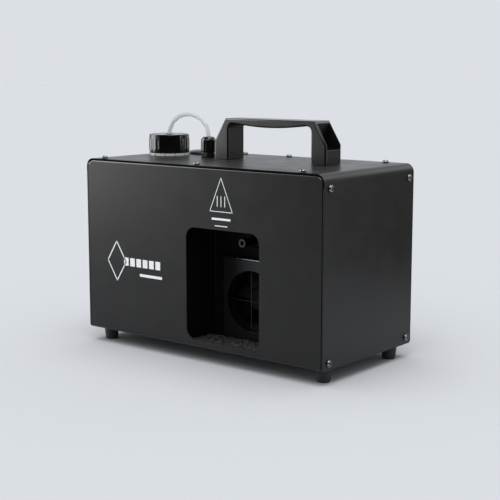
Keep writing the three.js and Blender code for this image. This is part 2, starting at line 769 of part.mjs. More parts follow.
function bayShroud() {
  const side = BAY.halfWidth + THIN_SHEET;
  const back = BAY.back + THIN_SHEET;
  const mouth = FRONT + SHEET + FIT;
  const section = bentSheet(
    [
      [side, mouth],
      [side, back],
      [-side, back],
      [-side, mouth],
    ],
    2.5,
    THIN_SHEET,
  );
  const walls = slab(section, "xy", DECK + FIT, BAY.roof + THIN_SHEET);
  const inside = BAY.halfWidth + 0.6;
  const overBend = block(-side - 1, side + 1, mouth - 1, FRONT + BASE_BEND + 1, 0, FLOOR + BASE_BEND);
  const roof = block(-inside, inside, mouth, BAY.back + 0.6, BAY.roof, BAY.roof + THIN_SHEET);
  return cut(
    join(walls, roof),
    overBend,
    rod("y", FAN_PLATE.hole, BAY.back - 1, BAY.back + 3, 0, FAN.z, 28),
    rod("y", 8, BAY.back - 1, BAY.back + 3, 0, NOZZLE.z, 12),
  );
}

function dripPad() {
  const reach = BAY.halfWidth - 2;
  const [front, back] = [FRONT + BASE_BEND, FAN_PLATE.front - 1.5];
  return block(-reach, reach, front, back, DECK + FIT, DECK + 4);
}

addPiece("fan_frame", fanFrame(), BLACK_PLASTIC, [BAY_X, 0, FAN.z]);
addPiece("fan_rotor", fanRotor(), BLACK_PLASTIC, [BAY_X, 0, FAN.z]);
addPiece("fan_plate", fanPlate(), BLACK_PAINT, [BAY_X, 0, 0]);
addPiece("bay_shroud", bayShroud(), BLACK_PAINT, [BAY_X, 0, 0]);
addPiece("drip_pad", dripPad(), FOAM, [BAY_X, 0, 0]);

// ---------------------------------------------------------------- control electronics
const BOARD_FACE = 66; // rear-facing side of the circuit board

function controlBoard() {
  const board = block(-47, 47, BOARD_FACE - 1.6, BOARD_FACE, 116, 190);
  const relay = block(-36, -16, BOARD_FACE - 16, BOARD_FACE - 1.5, 124, 140);
  const capacitor = rod("y", 6, BOARD_FACE - 20, BOARD_FACE - 1.5, 12, 132, 14);
  const transformer = block(-30, 2, BOARD_FACE - 24, BOARD_FACE - 1.5, 152, 180);
  return join(board, relay, capacitor, transformer);
}

// The display sits behind the panel and its lens fills the opening.
function displayModule() {
  const [w, h] = [DISPLAY.width / 2, DISPLAY.height / 2];
  const frame = block(-w - 3, w + 3, BOARD_FACE + FIT, REAR_INSIDE - FIT, -h - 3, h + 3);
  return join(frame, block(-w, w, REAR_INSIDE - 1, REAR - 0.3, -h, h));
}

function menuButton() {
  const { radius } = BUTTONS;
  const profile = [
    [0, -12.5],
    [1.8, -12.5],
    [1.8, -5],
    [radius + 1.2, -5],
    [radius + 1.2, -3.6],
    [radius, -3.6],
    [radius, 1.9],
    [radius - 0.8, 2.6],
    [0, 2.6],
  ];
  return turned(profile, 12, "rear");
}

addPiece("control_board", controlBoard(), BOARD_GREEN, [DISPLAY.x, 0, 0]);
addPiece("display_module", displayModule(), LENS, [DISPLAY.x, 0, DISPLAY.z]);
rowOf({ ...BUTTONS, centre: BUTTONS.x }).forEach((x, i) => {
  addPiece(`menu_button_${i + 1}`, menuButton(), GREY_PLASTIC, [x, REAR, BUTTONS.z]);
});

// ---------------------------------------------------------------- rear connectors
const FACE = REAR + FIT; // where a fitting's flange meets the rear panel

function chamferedRectangle(w, h, corner) {
  return polygon([
    [-w, -h],
    [w, -h],
    [w, h - corner],
    [w - corner, h],
    [corner - w, h],
    [-w, h - corner],
  ]);
}

function powerInlet() {
  const { halfWidth, halfHeight } = INLET;
  const flange = slab(roundedRectangle(-25, 25, -11.5, 11.5, 4), "xz", FACE, FACE + 2.4);
  const body = block(-halfWidth, halfWidth, REAR - 24, FACE + 1, -halfHeight, halfHeight);
  const depth = 16;
  const cavity = slab(chamferedRectangle(12, 7.8, 4), "xz", FACE + 2.4 - depth, FACE + 5);
  const pins = [
    [-7, -1.5],
    [0, 1.5],
    [7, -1.5],
  ].map(([x, z]) => block(x - 1, x + 1, FACE + 1.4 - depth, FACE - 2.4, z - 2, z + 2));
  const ears = [-20, 20].map((x) => rod("y", 1.7, FACE - 1, FACE + 5, x, 0, 12));
  return join(cut(join(flange, body), cavity, ...ears), ...pins);
}

function switchHousing() {
  const { halfWidth, halfHeight } = SWITCH;
  const rim = roundedRectangle(-halfWidth - 1.5, halfWidth + 1.5, -halfHeight - 1.5, halfHeight + 1.5, 2);
  const body = block(-halfWidth, halfWidth, REAR - 18, FACE + 1, -halfHeight, halfHeight);
  const cavity = block(-5.6, 5.6, REAR - 9, FACE + 4, -9.4, 9.4);
  return cut(join(slab(rim, "xz", FACE, FACE + 2), body), cavity);
}

// Seen from its end: a shallow V outside and a narrower foot inside, turning about its middle.
function switchRocker() {
  const outline = polygon([
    [-5, -4.5],
    [-1.5, -8],
    [3.2, -8.4],
    [1.6, 0],
    [3.2, 8.4],
    [-1.5, 8],
    [-5, 4.5],
  ]);
  return slab(outline, "yz", -5.2, 5.2);
}

function fuseHolder() {
  const profile = [
    [4.4, -26],
    [5.8, -26],
    [5.8, FIT + 0.2],
    [8, FIT],
    [8, 2.3],
    [4.4, 2.3],
    [4.4, -26],
  ];
  return turned(profile, 16, "rear");
}

function fuseCap() {
  const { radius } = FUSE;
  const profile = [
    [0, -9],
    [3.8, -9],
    [3.8, 2.6],
    [radius, 2.6],
    [radius, REAR_REACH - 1],
    [radius - 1, REAR_REACH],
    [0, REAR_REACH],
  ];
  return cut(turned(profile, 16, "rear"), block(-5, 5, REAR_REACH - 1.2, REAR_REACH + 1, -0.8, 0.8));
}

function xlrFlange() {
  const { halfWidth, halfHeight } = XLR;
  const outline = roundedRectangle(-halfWidth, halfWidth, -halfHeight, halfHeight, 2.5);
  const flange = slab(outline, "xz", FACE, FACE + 2);
  const barrel = rod("y", 11.7, REAR - 20, FACE + 1, 0, 0, 20);
  const holes = [-1, 1].map((s) => rod("y", 1.7, FACE - 1, FACE + 4, s * 9.5, s * 12, 8));
  return cut(join(flange, barrel), ...holes);
}

const xlrPins = [-1, 0, 1].map((i) => [5 * Math.sin(i * 1.6), -5 * Math.cos(i * 1.6) + 1]);

function xlrOut() {
  const sockets = xlrPins.map(([x, z]) => rod("y", 1.5, FACE - 10, FACE + 4, x, z, 8));
  const latchSlot = block(-3.4, 3.4, FACE - 5, FACE + 4, 7.6, 11);
  return cut(xlrFlange(), ...sockets, latchSlot);
}

function xlrIn() {
  const cavity = rod("y", 9.3, FACE - 12, FACE + 4, 0, 0, 20);
  const pins = xlrPins.map(([x, z]) => rod("y", 1.2, FACE - 13, FACE - 2.6, x, z, 8));
  return join(cut(xlrFlange(), cavity), ...pins);
}

addPiece("power_inlet", powerInlet(), BLACK_PLASTIC, [INLET.x, 0, INLET.z]);
addPiece("switch_housing", switchHousing(), BLACK_PLASTIC, [SWITCH.x, 0, SWITCH.z]);
const rockerTilt = [(-SWITCH.tilt * Math.PI) / 180, 0, 0];
addPiece("switch_rocker", switchRocker(), BLACK_PLASTIC, [SWITCH.x, FACE + 1, SWITCH.z], rockerTilt);
addPiece("fuse_holder", fuseHolder(), BLACK_PLASTIC, [FUSE.x, REAR, FUSE.z]);
addPiece("fuse_cap", fuseCap(), BLACK_PLASTIC, [FUSE.x, REAR, FUSE.z]);
addPiece("xlr_out", xlrOut(), STEEL, [XLR.outX, 0, XLR.z]);
addPiece("xlr_in", xlrIn(), STEEL, [XLR.inX, 0, XLR.z]);
const latch = block(-3, 3, FACE - 2.6, FACE + 3.4, 8, 10.6);
addPiece("xlr_latch", latch, BLACK_PLASTIC, [XLR.outX, 0, XLR.z]);

// ---------------------------------------------------------------- blanking plug on the top
const plugProfile = [
  [0, -SHEET - FIT],
  [PLUG.spigot, -SHEET - FIT],
  [PLUG.spigot, FIT],
  [PLUG.radius, FIT],
  [PLUG.radius - 0.6, 2.4],
  [PLUG.radius - 4, PLUG.high],
  [0, PLUG.high],
];
addPiece("blanking_plug", turned(plugProfile, 20), RUBBER, [PLUG.x, PLUG.y, TOP]);

export default hazeMachine;
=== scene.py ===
"""The looks of a small tabletop haze machine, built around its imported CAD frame.

Metres, +X to the right seen from the front, +Y to the rear, +Z up, feet on z = 0.
"""

import json
from math import cos, pi, radians, sin

import bmesh
import bpy
from mathutils import Matrix, Vector, noise

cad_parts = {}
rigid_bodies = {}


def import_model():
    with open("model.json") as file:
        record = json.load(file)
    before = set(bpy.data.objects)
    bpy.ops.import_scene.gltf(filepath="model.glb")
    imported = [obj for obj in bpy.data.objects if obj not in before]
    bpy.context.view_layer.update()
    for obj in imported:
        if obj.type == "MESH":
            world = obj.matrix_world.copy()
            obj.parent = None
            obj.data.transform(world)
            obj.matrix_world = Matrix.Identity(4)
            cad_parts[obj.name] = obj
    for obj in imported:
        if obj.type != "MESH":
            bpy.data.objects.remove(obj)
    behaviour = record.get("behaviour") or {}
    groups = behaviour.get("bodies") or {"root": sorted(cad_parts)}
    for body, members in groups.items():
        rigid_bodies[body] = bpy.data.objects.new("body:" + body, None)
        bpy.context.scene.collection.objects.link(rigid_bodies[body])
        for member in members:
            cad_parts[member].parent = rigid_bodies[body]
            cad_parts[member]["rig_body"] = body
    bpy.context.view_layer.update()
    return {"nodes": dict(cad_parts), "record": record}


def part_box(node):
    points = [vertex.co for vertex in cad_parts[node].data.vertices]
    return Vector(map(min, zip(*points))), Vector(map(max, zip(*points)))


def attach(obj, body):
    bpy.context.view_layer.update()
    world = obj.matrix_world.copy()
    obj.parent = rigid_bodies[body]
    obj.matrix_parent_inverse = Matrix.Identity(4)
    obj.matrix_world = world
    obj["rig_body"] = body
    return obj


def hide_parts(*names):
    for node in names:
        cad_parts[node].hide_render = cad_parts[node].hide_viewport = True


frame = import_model()
scene = bpy.context.scene
MM = 0.001

# ---------------------------------------------------------------- driving dimensions
# Taken from the frame where a node has them, and otherwise named here once.
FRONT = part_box("front_base_panel")[0].y
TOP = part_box("top_cover")[1].z
CAP_LOW, CAP_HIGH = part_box("cap_ring")
CAP_AXIS = (CAP_LOW + CAP_HIGH) / 2
CAP_RADIUS = (CAP_HIGH.x - CAP_LOW.x) / 2
GLAND_LOW, GLAND_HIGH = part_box("gland_nut")
GLAND_AXIS = (GLAND_LOW + GLAND_HIGH) / 2
HOSE_DIAMETER = 4.6 * MM
TUBE_Y = CAP_AXIS.y
# The seam between the front panel and the cover: where its sides start, and how far the panel stands below.
SEAM_FOOT = TOP - 14 * MM
SEAM_STEP = 2.1 * MM
# The point that the unseen cards are placed round.
MIDDLE = Vector((0, 0, 0.12))


# ---------------------------------------------------------------- mesh building
def turned(profile, segments=48, ripple=None):
    """A body turned about +Z from (radius, height) points, closed on the axis or on itself.

    ripple(angle, radius, height) gives the radius that a point really has."""
    build = bmesh.new()
    rings = []
    for radius, height in profile:
        count = 1 if radius < 1e-9 else segments
        ring = []
        for k in range(count):
            angle = 2 * pi * k / segments
            reach = ripple(angle, radius, height) if ripple else radius
            ring.append(build.verts.new((reach * cos(angle), reach * sin(angle), height)))
        rings.append(ring)
    if profile[0] == profile[-1]:
        for vert in rings[-1]:
            build.verts.remove(vert)
        rings[-1] = rings[0]
    for low, high in zip(rings, rings[1:]):
        for k in range(segments):
            corners = []
            for ring, step in ((low, k), (low, k + 1), (high, k + 1), (high, k)):
                vert = ring[step % len(ring)]
                if vert not in corners:
                    corners.append(vert)
            if len(corners) > 2:
                build.faces.new(corners)
    bmesh.ops.recalc_face_normals(build, faces=build.faces)
    return build


def softened(profile, radius, steps=4):
    """The same (radius, height) points with each corner off the axis rounded."""
    closed = profile[0] == profile[-1]
    points = [Vector(p) for p in (profile[:-1] if closed else profile)]
    out = []
    for i, here in enumerate(points):
        ends = i in (0, len(points) - 1) and not closed
        before, after = points[i - 1], points[(i + 1) % len(points)]
        if ends:
            out.append(tuple(here))
            continue
        back, on = before - here, after - here
        reach = min(radius, back.length * 0.45, on.length * 0.45)
        start, end = here + back.normalized() * reach, here + on.normalized() * reach
        for k in range(steps + 1):
            t = k / steps
            bend = start * (1 - t) ** 2 + here * 2 * t * (1 - t) + end * t**2
            out.append(tuple(bend))
    if closed:
        out.append(out[0])
    return out


def prism(outline, axis, low, high):
    """An outline of (u, v) points given depth along an axis; u and v are the other two axes in order."""
    build = bmesh.new()
    place = {
        "x": lambda u, v, w: (w, u, v),
        "y": lambda u, v, w: (u, w, v),
        "z": lambda u, v, w: (u, v, w),
    }[axis]
    near = [build.verts.new(place(u, v, low)) for u, v in outline]
    far = [build.verts.new(place(u, v, high)) for u, v in outline]
    build.faces.new(near)
    build.faces.new(far[::-1])
    for i in range(len(outline)):
        j = (i + 1) % len(outline)
        build.faces.new((near[j], near[i], far[i], far[j]))
    bmesh.ops.recalc_face_normals(build, faces=build.faces)
    return build


def block(low, high):
    (x0, y0, z0), (x1, y1, z1) = low, high
    return prism([(x0, y0), (x1, y0), (x1, y1), (x0, y1)], "z", z0, z1)


def moved(build, matrix):
    bmesh.ops.transform(build, matrix=matrix, verts=build.verts)
    return build


def gathered(*builds):
    """Several bodies in one."""
    whole = bmesh.new()
    for build in builds:
        mesh = bpy.data.meshes.new("part")
        build.to_mesh(mesh)
        whole.from_mesh(mesh)
        bpy.data.meshes.remove(mesh)
        build.free()
    return whole


def as_object(build, name):
    mesh = bpy.data.meshes.new(name)
    build.to_mesh(mesh)
    build.free()
    obj = bpy.data.objects.new(name, mesh)
    scene.collection.objects.link(obj)
    return obj


def combined(body, operation, *tools):
    """The body after a boolean with each tool, as a new build."""
    left = as_object(body, "body")
    helpers = []
    for tool in tools:
        helper = as_object(tool, "tool")
        helpers.append(helper)
        modifier = left.modifiers.new("boolean", "BOOLEAN")
        modifier.object = helper
        modifier.operation = operation
        modifier.solver = "EXACT"
    view = bpy.context.evaluated_depsgraph_get()
    result = bmesh.new()
    result.from_mesh(left.evaluated_get(view).to_mesh())
    for obj in [left, *helpers]:
        bpy.data.objects.remove(obj)
    flattened(result)
    return result


def cut(body, *tools):
    return combined(body, "DIFFERENCE", *tools)


def flattened(build):
    """Merges the triangles of each flat face into one face."""
    bmesh.ops.remove_doubles(build, verts=build.verts, dist=2e-6)
    bmesh.ops.dissolve_limit(build, angle_limit=radians(0.6), verts=build.verts, edges=build.edges)


def bevelled(build, width, segments=2, over=28):
    """Rounds every edge where the faces turn by more than `over` degrees."""
    sharp = [
        edge
        for edge in build.edges
        if len(edge.link_faces) == 2 and edge.calc_face_angle(0) > radians(over)
    ]
    bmesh.ops.bevel(
        build,
        geom=sharp,
        offset=width,
        segments=segments,
        profile=0.5,
        affect="EDGES",
        clamp_overlap=True,
    )
    return build


def cad_build(node):
    """A clean copy of a CAD node's faceted solid."""
    build = bmesh.new()
    build.from_mesh(frame["nodes"][node].data)
    flattened(build)
    return build


def body_of(node):
    return frame["nodes"][node]["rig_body"]


def slot_of(node):
    return next(s["material_slot"] for s in frame["record"]["subparts"] if s["node"] == node)


def piece(build, name, node, material, replaces=True, smooth_to=38):
    """Makes a build into a named piece that rides with a CAD node's body and may stand for the node."""
    obj = as_object(build, name)
    obj.data.materials.append(material)
    obj.data.shade_smooth()
    obj.data.set_sharp_from_angle(angle=radians(smooth_to))
    weighted = obj.modifiers.new("even_normals", "WEIGHTED_NORMAL")
    weighted.keep_sharp = True
    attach(obj, body_of(node))
    if replaces:
        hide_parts(node)
    return obj


# ---------------------------------------------------------------- materials
def finish(
    name,
    color,
    roughness,
    metallic=0.0,
    mottle=0.12,
    mottle_scale=45,
    grain_scale=1400,
    grain_depth=0.012,
    polish=0.12,
    stretch=(1, 1, 1),
    cells=False,
    dust=0.0,
    pore_shade=0.0,
    **shader_values,
):
    """A node material: cloudy colour and gloss, a fine surface grain, dust on what faces up, and near-black
    specks of painted shade for pores.

    mottle and polish are shares by which colour and roughness vary, grain_depth is in millimetres."""
    material = bpy.data.materials.new(name)
    material.use_nodes = True
    tree = material.node_tree
    nodes, link = tree.nodes, tree.links.new
    shader = nodes["Principled BSDF"]
    shader.inputs["Metallic"].default_value = metallic
    for socket, value in shader_values.items():
        shader.inputs[socket.replace("_", " ")].default_value = value

    place = nodes.new("ShaderNodeTexCoord")
    spread = nodes.new("ShaderNodeMapping")
    spread.inputs["Scale"].default_value = stretch
    link(place.outputs["Object"], spread.inputs["Vector"])

    clouds = nodes.new("ShaderNodeTexNoise")
    clouds.inputs["Scale"].default_value = mottle_scale
    clouds.inputs["Detail"].default_value = 6
    clouds.inputs["Roughness"].default_value = 0.6
    link(spread.outputs["Vector"], clouds.inputs["Vector"])

    tone = nodes.new("ShaderNodeValToRGB")
    dark, light = tone.color_ramp.elements
    dark.position, light.position = 0.3, 0.7
    dark.color = (*[c * (1 - mottle) for c in color], 1)
    light.color = (*[min(c * (1 + mottle), 1) for c in color], 1)
    link(clouds.outputs["Fac"], tone.inputs["Fac"])
    color_out = tone.outputs["Color"]

    gloss = nodes.new("ShaderNodeMapRange")
    gloss.inputs["From Min"].default_value = 0.3
    gloss.inputs["From Max"].default_value = 0.7
    gloss.inputs["To Min"].default_value = roughness * (1 - polish)
    gloss.inputs["To Max"].default_value = min(roughness * (1 + polish), 1)
    link(clouds.outputs["Fac"], gloss.inputs["Value"])
    gloss_out = gloss.outputs["Result"]

    if dust:
        facing = nodes.new("ShaderNodeNewGeometry")
        split = nodes.new("ShaderNodeSeparateXYZ")
        link(facing.outputs["Normal"], split.inputs["Vector"])
        specks = nodes.new("ShaderNodeTexNoise")
        specks.inputs["Scale"].default_value = 420
        specks.inputs["Detail"].default_value = 3
        link(place.outputs["Object"], specks.inputs["Vector"])
        settle = nodes.new("ShaderNodeMapRange")
        settle.inputs["From Min"].default_value = 0.58
        settle.inputs["From Max"].default_value = 0.82
        settle.inputs["To Max"].default_value = dust
        link(specks.outputs["Fac"], settle.inputs["Value"])
        upward = nodes.new("ShaderNodeMapRange")
        upward.inputs["From Min"].default_value = 0.6
        upward.inputs["From Max"].default_value = 1.0
        link(split.outputs["Z"], upward.inputs["Value"])
        amount = nodes.new("ShaderNodeMath")
        amount.operation = "MULTIPLY"
        link(settle.outputs["Result"], amount.inputs[0])
        link(upward.outputs["Result"], amount.inputs[1])
        dusty = nodes.new("ShaderNodeMix")
        dusty.data_type = "RGBA"
        dusty.inputs["B"].default_value = (0.3, 0.3, 0.3, 1)
        link(amount.outputs["Value"], dusty.inputs["Factor"])
        link(color_out, dusty.inputs["A"])
        color_out = dusty.outputs["Result"]

    # Painted shade: near-black specks mixed into the colour where the foam's open pores would hold shadow.
    if pore_shade:
        holes = nodes.new("ShaderNodeTexNoise")
        holes.inputs["Scale"].default_value = 300
        holes.inputs["Detail"].default_value = 3
        link(place.outputs["Object"], holes.inputs["Vector"])
        depth = nodes.new("ShaderNodeMapRange")
        depth.inputs["From Min"].default_value = 0.47
        depth.inputs["From Max"].default_value = 0.54
        depth.inputs["To Min"].default_value = pore_shade
        depth.inputs["To Max"].default_value = 0
        link(holes.outputs["Fac"], depth.inputs["Value"])
        pore_shaded = nodes.new("ShaderNodeMix")
        pore_shaded.data_type = "RGBA"
        pore_shaded.inputs["B"].default_value = (0.001, 0.001, 0.001, 1)
        link(depth.outputs["Result"], pore_shaded.inputs["Factor"])
        link(color_out, pore_shaded.inputs["A"])
        color_out = pore_shaded.outputs["Result"]

    link(color_out, shader.inputs["Base Color"])
    link(gloss_out, shader.inputs["Roughness"])

    if cells:
        grain = nodes.new("ShaderNodeTexVoronoi")
        grain.inputs["Scale"].default_value = grain_scale
        height = grain.outputs["Distance"]
    else:
        grain = nodes.new("ShaderNodeTexNoise")
        grain.inputs["Scale"].default_value = grain_scale
        grain.inputs["Detail"].default_value = 2
        height = grain.outputs["Fac"]
    link(spread.outputs["Vector"], grain.inputs["Vector"])
    bump = nodes.new("ShaderNodeBump")
    bump.inputs["Distance"].default_value = grain_depth * MM
    link(height, bump.inputs["Height"])
    link(bump.outputs["Normal"], shader.inputs["Normal"])
    return material


PAINT = finish(
    "powder_coat", (0.0088, 0.0085, 0.0083), 0.33, grain_scale=1300, grain_depth=0.018, dust=0.05,
    Specular_IOR_Level=0.28,
)
FOLD_PAINT = finish(
    "powder_coat_on_the_fold", (0.0088, 0.0085, 0.0083), 0.26, grain_scale=1300, grain_depth=0.012,
    Specular_IOR_Level=0.9,
)
# Black paint made darker than the case paint as painted shade: it darkens the inside of the bay, the fan
# frame, the nozzle barrel and the cover's cut edge at the seam.
BAY_PAINT_AND_SHADE = finish(
    "bay_paint_and_painted_shade", (0.0035, 0.0035, 0.0036), 0.55, grain_scale=1100, grain_depth=0.02, Specular_IOR_Level=0.15
)
STEEL = finish(
    "zinc_steel", (0.62, 0.63, 0.65), 0.24, 1.0, mottle=0.18, mottle_scale=500,
    stretch=(1, 1, 0.2), polish=0.4,
)
SCREW_ZINC = finish("black_zinc", (0.21, 0.21, 0.215), 0.2, 1.0, mottle=0.3, mottle_scale=500, polish=0.4)
RUBBER = finish("foot_rubber", (0.012, 0.012, 0.0125), 0.62, grain_scale=900, grain_depth=0.04)
HANDLE_GREY = finish(
    "handle_plastic", (0.0045, 0.0045, 0.0046), 0.24, grain_scale=1500, grain_depth=0.006, cells=True,
    Specular_IOR_Level=0.7,
)
TANK_MILK = finish("tank_plastic", (0.72, 0.75, 0.73), 0.42, mottle=0.05)
NECK_GREY = finish("neck_plastic", (0.5, 0.5, 0.5), 0.35, mottle=0.06)
CAP_BLACK = finish(
    "cap_plastic", (0.003, 0.003, 0.003), 0.12, grain_scale=260, grain_depth=0.003, polish=0.35
)
SEAL = finish("seal_rubber", (0.01, 0.01, 0.011), 0.5)
HOSE = finish(
    "hose_plastic", (0.7, 0.71, 0.705), 0.38, mottle=0.02, grain_depth=0.003,
    Transmission_Weight=0.72, IOR=1.22,
)
TUBE_MILK = finish("tube_plastic", (0.6, 0.62, 0.61), 0.3, mottle=0.04, grain_depth=0.004)
FAN_BLACK = finish(
    "fan_plastic", (0.003, 0.003, 0.0031), 0.5, grain_scale=1100, grain_depth=0.02, Specular_IOR_Level=0.2
)
ALUMINIUM = finish(
    "heater_aluminium", (0.6, 0.6, 0.6), 0.4, 1.0, stretch=(0.05, 1, 1), grain_scale=900, grain_depth=0.02
)
BRACKET = finish("zinc_sheet", (0.5, 0.51, 0.52), 0.34, 1.0, mottle=0.25, mottle_scale=130, cells=True)
BRASS = finish("tarnished_brass", (0.065, 0.062, 0.057), 0.34, 1.0, stretch=(1, 0.08, 1), grain_scale=700)
FOAM = finish(
    "filter_foam", (0.03, 0.03, 0.03), 0.8, mottle=0.7, mottle_scale=520, grain_scale=330, grain_depth=0.9,
    cells=True, pore_shade=0.95,
)
BOARD = finish("solder_mask", (0.012, 0.09, 0.045), 0.35, mottle=0.3, mottle_scale=300)
LENS = finish("display_lens", (0.008, 0.012, 0.02), 0.07, grain_depth=0.0005, Coat_Weight=0.4)
BUTTON = finish("button_plastic", (0.09, 0.09, 0.095), 0.55, grain_depth=0.02, cells=True)
CONNECTOR = finish("connector_plastic", (0.013, 0.013, 0.014), 0.38, grain_scale=1200, grain_depth=0.015)
NICKEL = finish("nickel_casting", (0.48, 0.48, 0.47), 0.3, 1.0, mottle=0.1, grain_scale=800, grain_depth=0.01)
PLATE_PAINT = finish("plate_paint", (0.006, 0.006, 0.006), 0.32, grain_scale=900, grain_depth=0.012)
WIRE = finish("dull_wire", (0.07, 0.07, 0.072), 0.4, 1.0, mottle=0.2, grain_scale=900)
PRINT = finish("white_print", (0.8, 0.8, 0.8), 0.45, mottle=0.04)

SLOT_FINISH = {
    "case_paint": PAINT,
    "screw_steel": STEEL,
    "foot_rubber": RUBBER,
    "handle_plastic": HANDLE_GREY,
    "tank_plastic": TANK_MILK,
    "neck_plastic": NECK_GREY,
    "cap_plastic": CAP_BLACK,
    "seal_rubber": SEAL,
    "hose_plastic": TUBE_MILK,
    "fan_plastic": FAN_BLACK,
    "heater_aluminium": ALUMINIUM,
    "bracket_steel": BRACKET,
    "nozzle_brass": BRASS,
    "pad_foam": FOAM,
    "board_laminate": BOARD,
    "display_lens": LENS,
    "button_plastic": BUTTON,
    "connector_plastic": CONNECTOR,
    "connector_metal": NICKEL,
}


# ---------------------------------------------------------------- camera, light and floor
def add_camera():
    data = bpy.data.cameras.new("camera")
    data.sensor_width = 36
    data.lens = 82.42
    data.clip_start, data.clip_end = 0.02, 60
    camera = bpy.data.objects.new("camera", data)
    camera.location = (0.7845, -0.9641, 0.3051)
    camera.rotation_euler = (radians(90 - 8.97), 0, radians(39.04))
    scene.collection.objects.link(camera)
    scene.camera = camera


PALE = (0.716, 0.745, 0.784)


def add_surroundings():
    """A pale even backdrop all round, and a matte floor of the same tone."""
    world = bpy.data.worlds.new("backdrop")
    world.use_nodes = True
    world.node_tree.nodes["Background"].inputs["Color"].default_value = (*PALE, 1)
    scene.world = world
    build = bmesh.new()
    bmesh.ops.create_grid(build, x_segments=1, y_segments=1, size=20)
    floor = as_object(build, "floor")
    floor_paper = finish(
        "floor_paper", (0.411, 0.421, 0.4335), 0.9, mottle=0.004, grain_depth=0.001, polish=0.02,
        Specular_IOR_Level=0.0,
    )
    floor.data.materials.append(floor_paper)


def add_sun(name, azimuth, elevation, angle, strength):
    """A soft far light; azimuth 0 shines from -Y and 90 from +X."""
    data = bpy.data.lights.new(name, "SUN")
    data.angle = radians(angle)
    data.energy = strength
    light = bpy.data.objects.new(name, data)
    a, e = radians(azimuth), radians(elevation)
    source = Vector((sin(a) * cos(e), -cos(a) * cos(e), sin(e)))
    light.rotation_euler = source.to_track_quat("Z", "Y").to_euler()
    scene.collection.objects.link(light)


def add_card(name, azimuths, elevations, distance, strength):
    """A patch of a sphere round MIDDLE, seen only in gloss: a softbox if bright, a flag if near black.

    The two azimuths and the two elevations are its edges in degrees, and azimuth 0 is -Y."""
    build = bmesh.new()
    steps = 12
    rows = []
    for j in range(steps + 1):
        elevation = radians(elevations[0] + (elevations[1] - elevations[0]) * j / steps)
        row = []
        for i in range(steps + 1):
            azimuth = radians(azimuths[0] + (azimuths[1] - azimuths[0]) * i / steps)
            across = distance * cos(elevation)
            up = MIDDLE.z + distance * sin(elevation)
            row.append(build.verts.new((across * sin(azimuth), -across * cos(azimuth), up)))
        rows.append(row)
    for low, high in zip(rows, rows[1:]):
        for i in range(steps):
            build.faces.new((low[i], low[i + 1], high[i + 1], high[i]))
    card = as_object(build, name)
    material = bpy.data.materials.new(name)
    material.use_nodes = True
    nodes = material.node_tree.nodes
    nodes.remove(nodes["Principled BSDF"])
    glow = nodes.new("ShaderNodeEmission")
    glow.inputs["Strength"].default_value = strength
    material.node_tree.links.new(glow.outputs["Emission"], nodes["Material Output"].inputs["Surface"])
    card.data.materials.append(material)
    card.visible_camera = False
    card.visible_diffuse = False
    card.visible_transmission = False
    card.visible_shadow = False


def add_light():
    add_sun("key_light", 20, 55, 50, 1.0)
    add_sun("overhead_light", 0, 88, 60, 2.4)
    add_card("backdrop_softbox_left", (-84, -46), (-4, 46), 1.3, 5.0)
    add_card("backdrop_softbox_right", (112, 124), (-12, 22), 1.3, 2.6)
    add_card("backdrop_softbox_high_right", (135, 172), (22, 42), 1.3, 1.8)
    add_card("backdrop_flag_front", (-26, 106), (-9, 32), 0.9, 0.01)
    add_card("backdrop_flag_right", (124, 160), (-13, -0.5), 0.6, 0.16)
    add_card("backdrop_flag_high_right", (124, 160), (-0.5, 20), 0.6, 0.28)
    add_card("backdrop_flag_ceiling", (-125, 20), (47, 80), 1.5, 0.05)


# ---------------------------------------------------------------- hose
def add_hose():
    """The feed hose, which leaves the middle of the cap and arches over into the gland."""
    route = [
        (-123, 222),
        (-123, 228),
        (-122.8, 233),
        (-121.3, 237.2),
        (-119.2, 241.2),
        (-115.8, 245.6),
        (-110.9, 249.6),
        (-105, 252.6),
        (-98.4, 254.3),
        (-91.2, 254.6),
        (-83.9, 253.6),
        (-77, 251.2),
        (-70.8, 247.3),
        (-66.2, 242),
        (-63.8, 236.4),
        (-63, 230.6),
        (-63, 224),
    ]
    data = bpy.data.curves.new("hose", "CURVE")
    data.dimensions = "3D"
    data.bevel_depth = HOSE_DIAMETER / 2
    data.bevel_resolution = 5
    data.resolution_u = 6
    data.use_fill_caps = True
    spline = data.splines.new("BEZIER")
    spline.bezier_points.add(len(route) - 1)
    for point, (x, z) in zip(spline.bezier_points, route):
        point.co = (x * MM, TUBE_Y, z * MM)
        point.handle_left_type = point.handle_right_type = "AUTO"
    hose = bpy.data.objects.new("milky_hose", data)
    scene.collection.objects.link(hose)
    data.materials.append(HOSE)
    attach(hose, body_of("feed_hose"))
    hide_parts("feed_hose")


# ---------------------------------------------------------------- screws and feet
def pan_head(radius, height):
    """A pan head above z = 0 with a cross recess, on a short shaft."""
    profile = [
        (0, -8 * MM),
        (0.48 * radius, -8 * MM),
        (0.48 * radius, 0),
        (radius * 0.97, 0),
        (radius, 0.2 * height),
        (radius * 0.97, 0.45 * height),
        (radius * 0.86, 0.72 * height),
        (radius * 0.66, 0.9 * height),
        (radius * 0.35, 0.985 * height),
        (0, height),
    ]
    head = turned(profile, 28)
    arm, slot, floor = radius * 0.56, radius * 0.14, height * 0.3
    tools = [
        block((-arm, -slot, floor), (arm, slot, height * 2)),
        block((-slot, -arm, floor), (slot, arm, height * 2)),
    ]
    return cut(head, *tools)


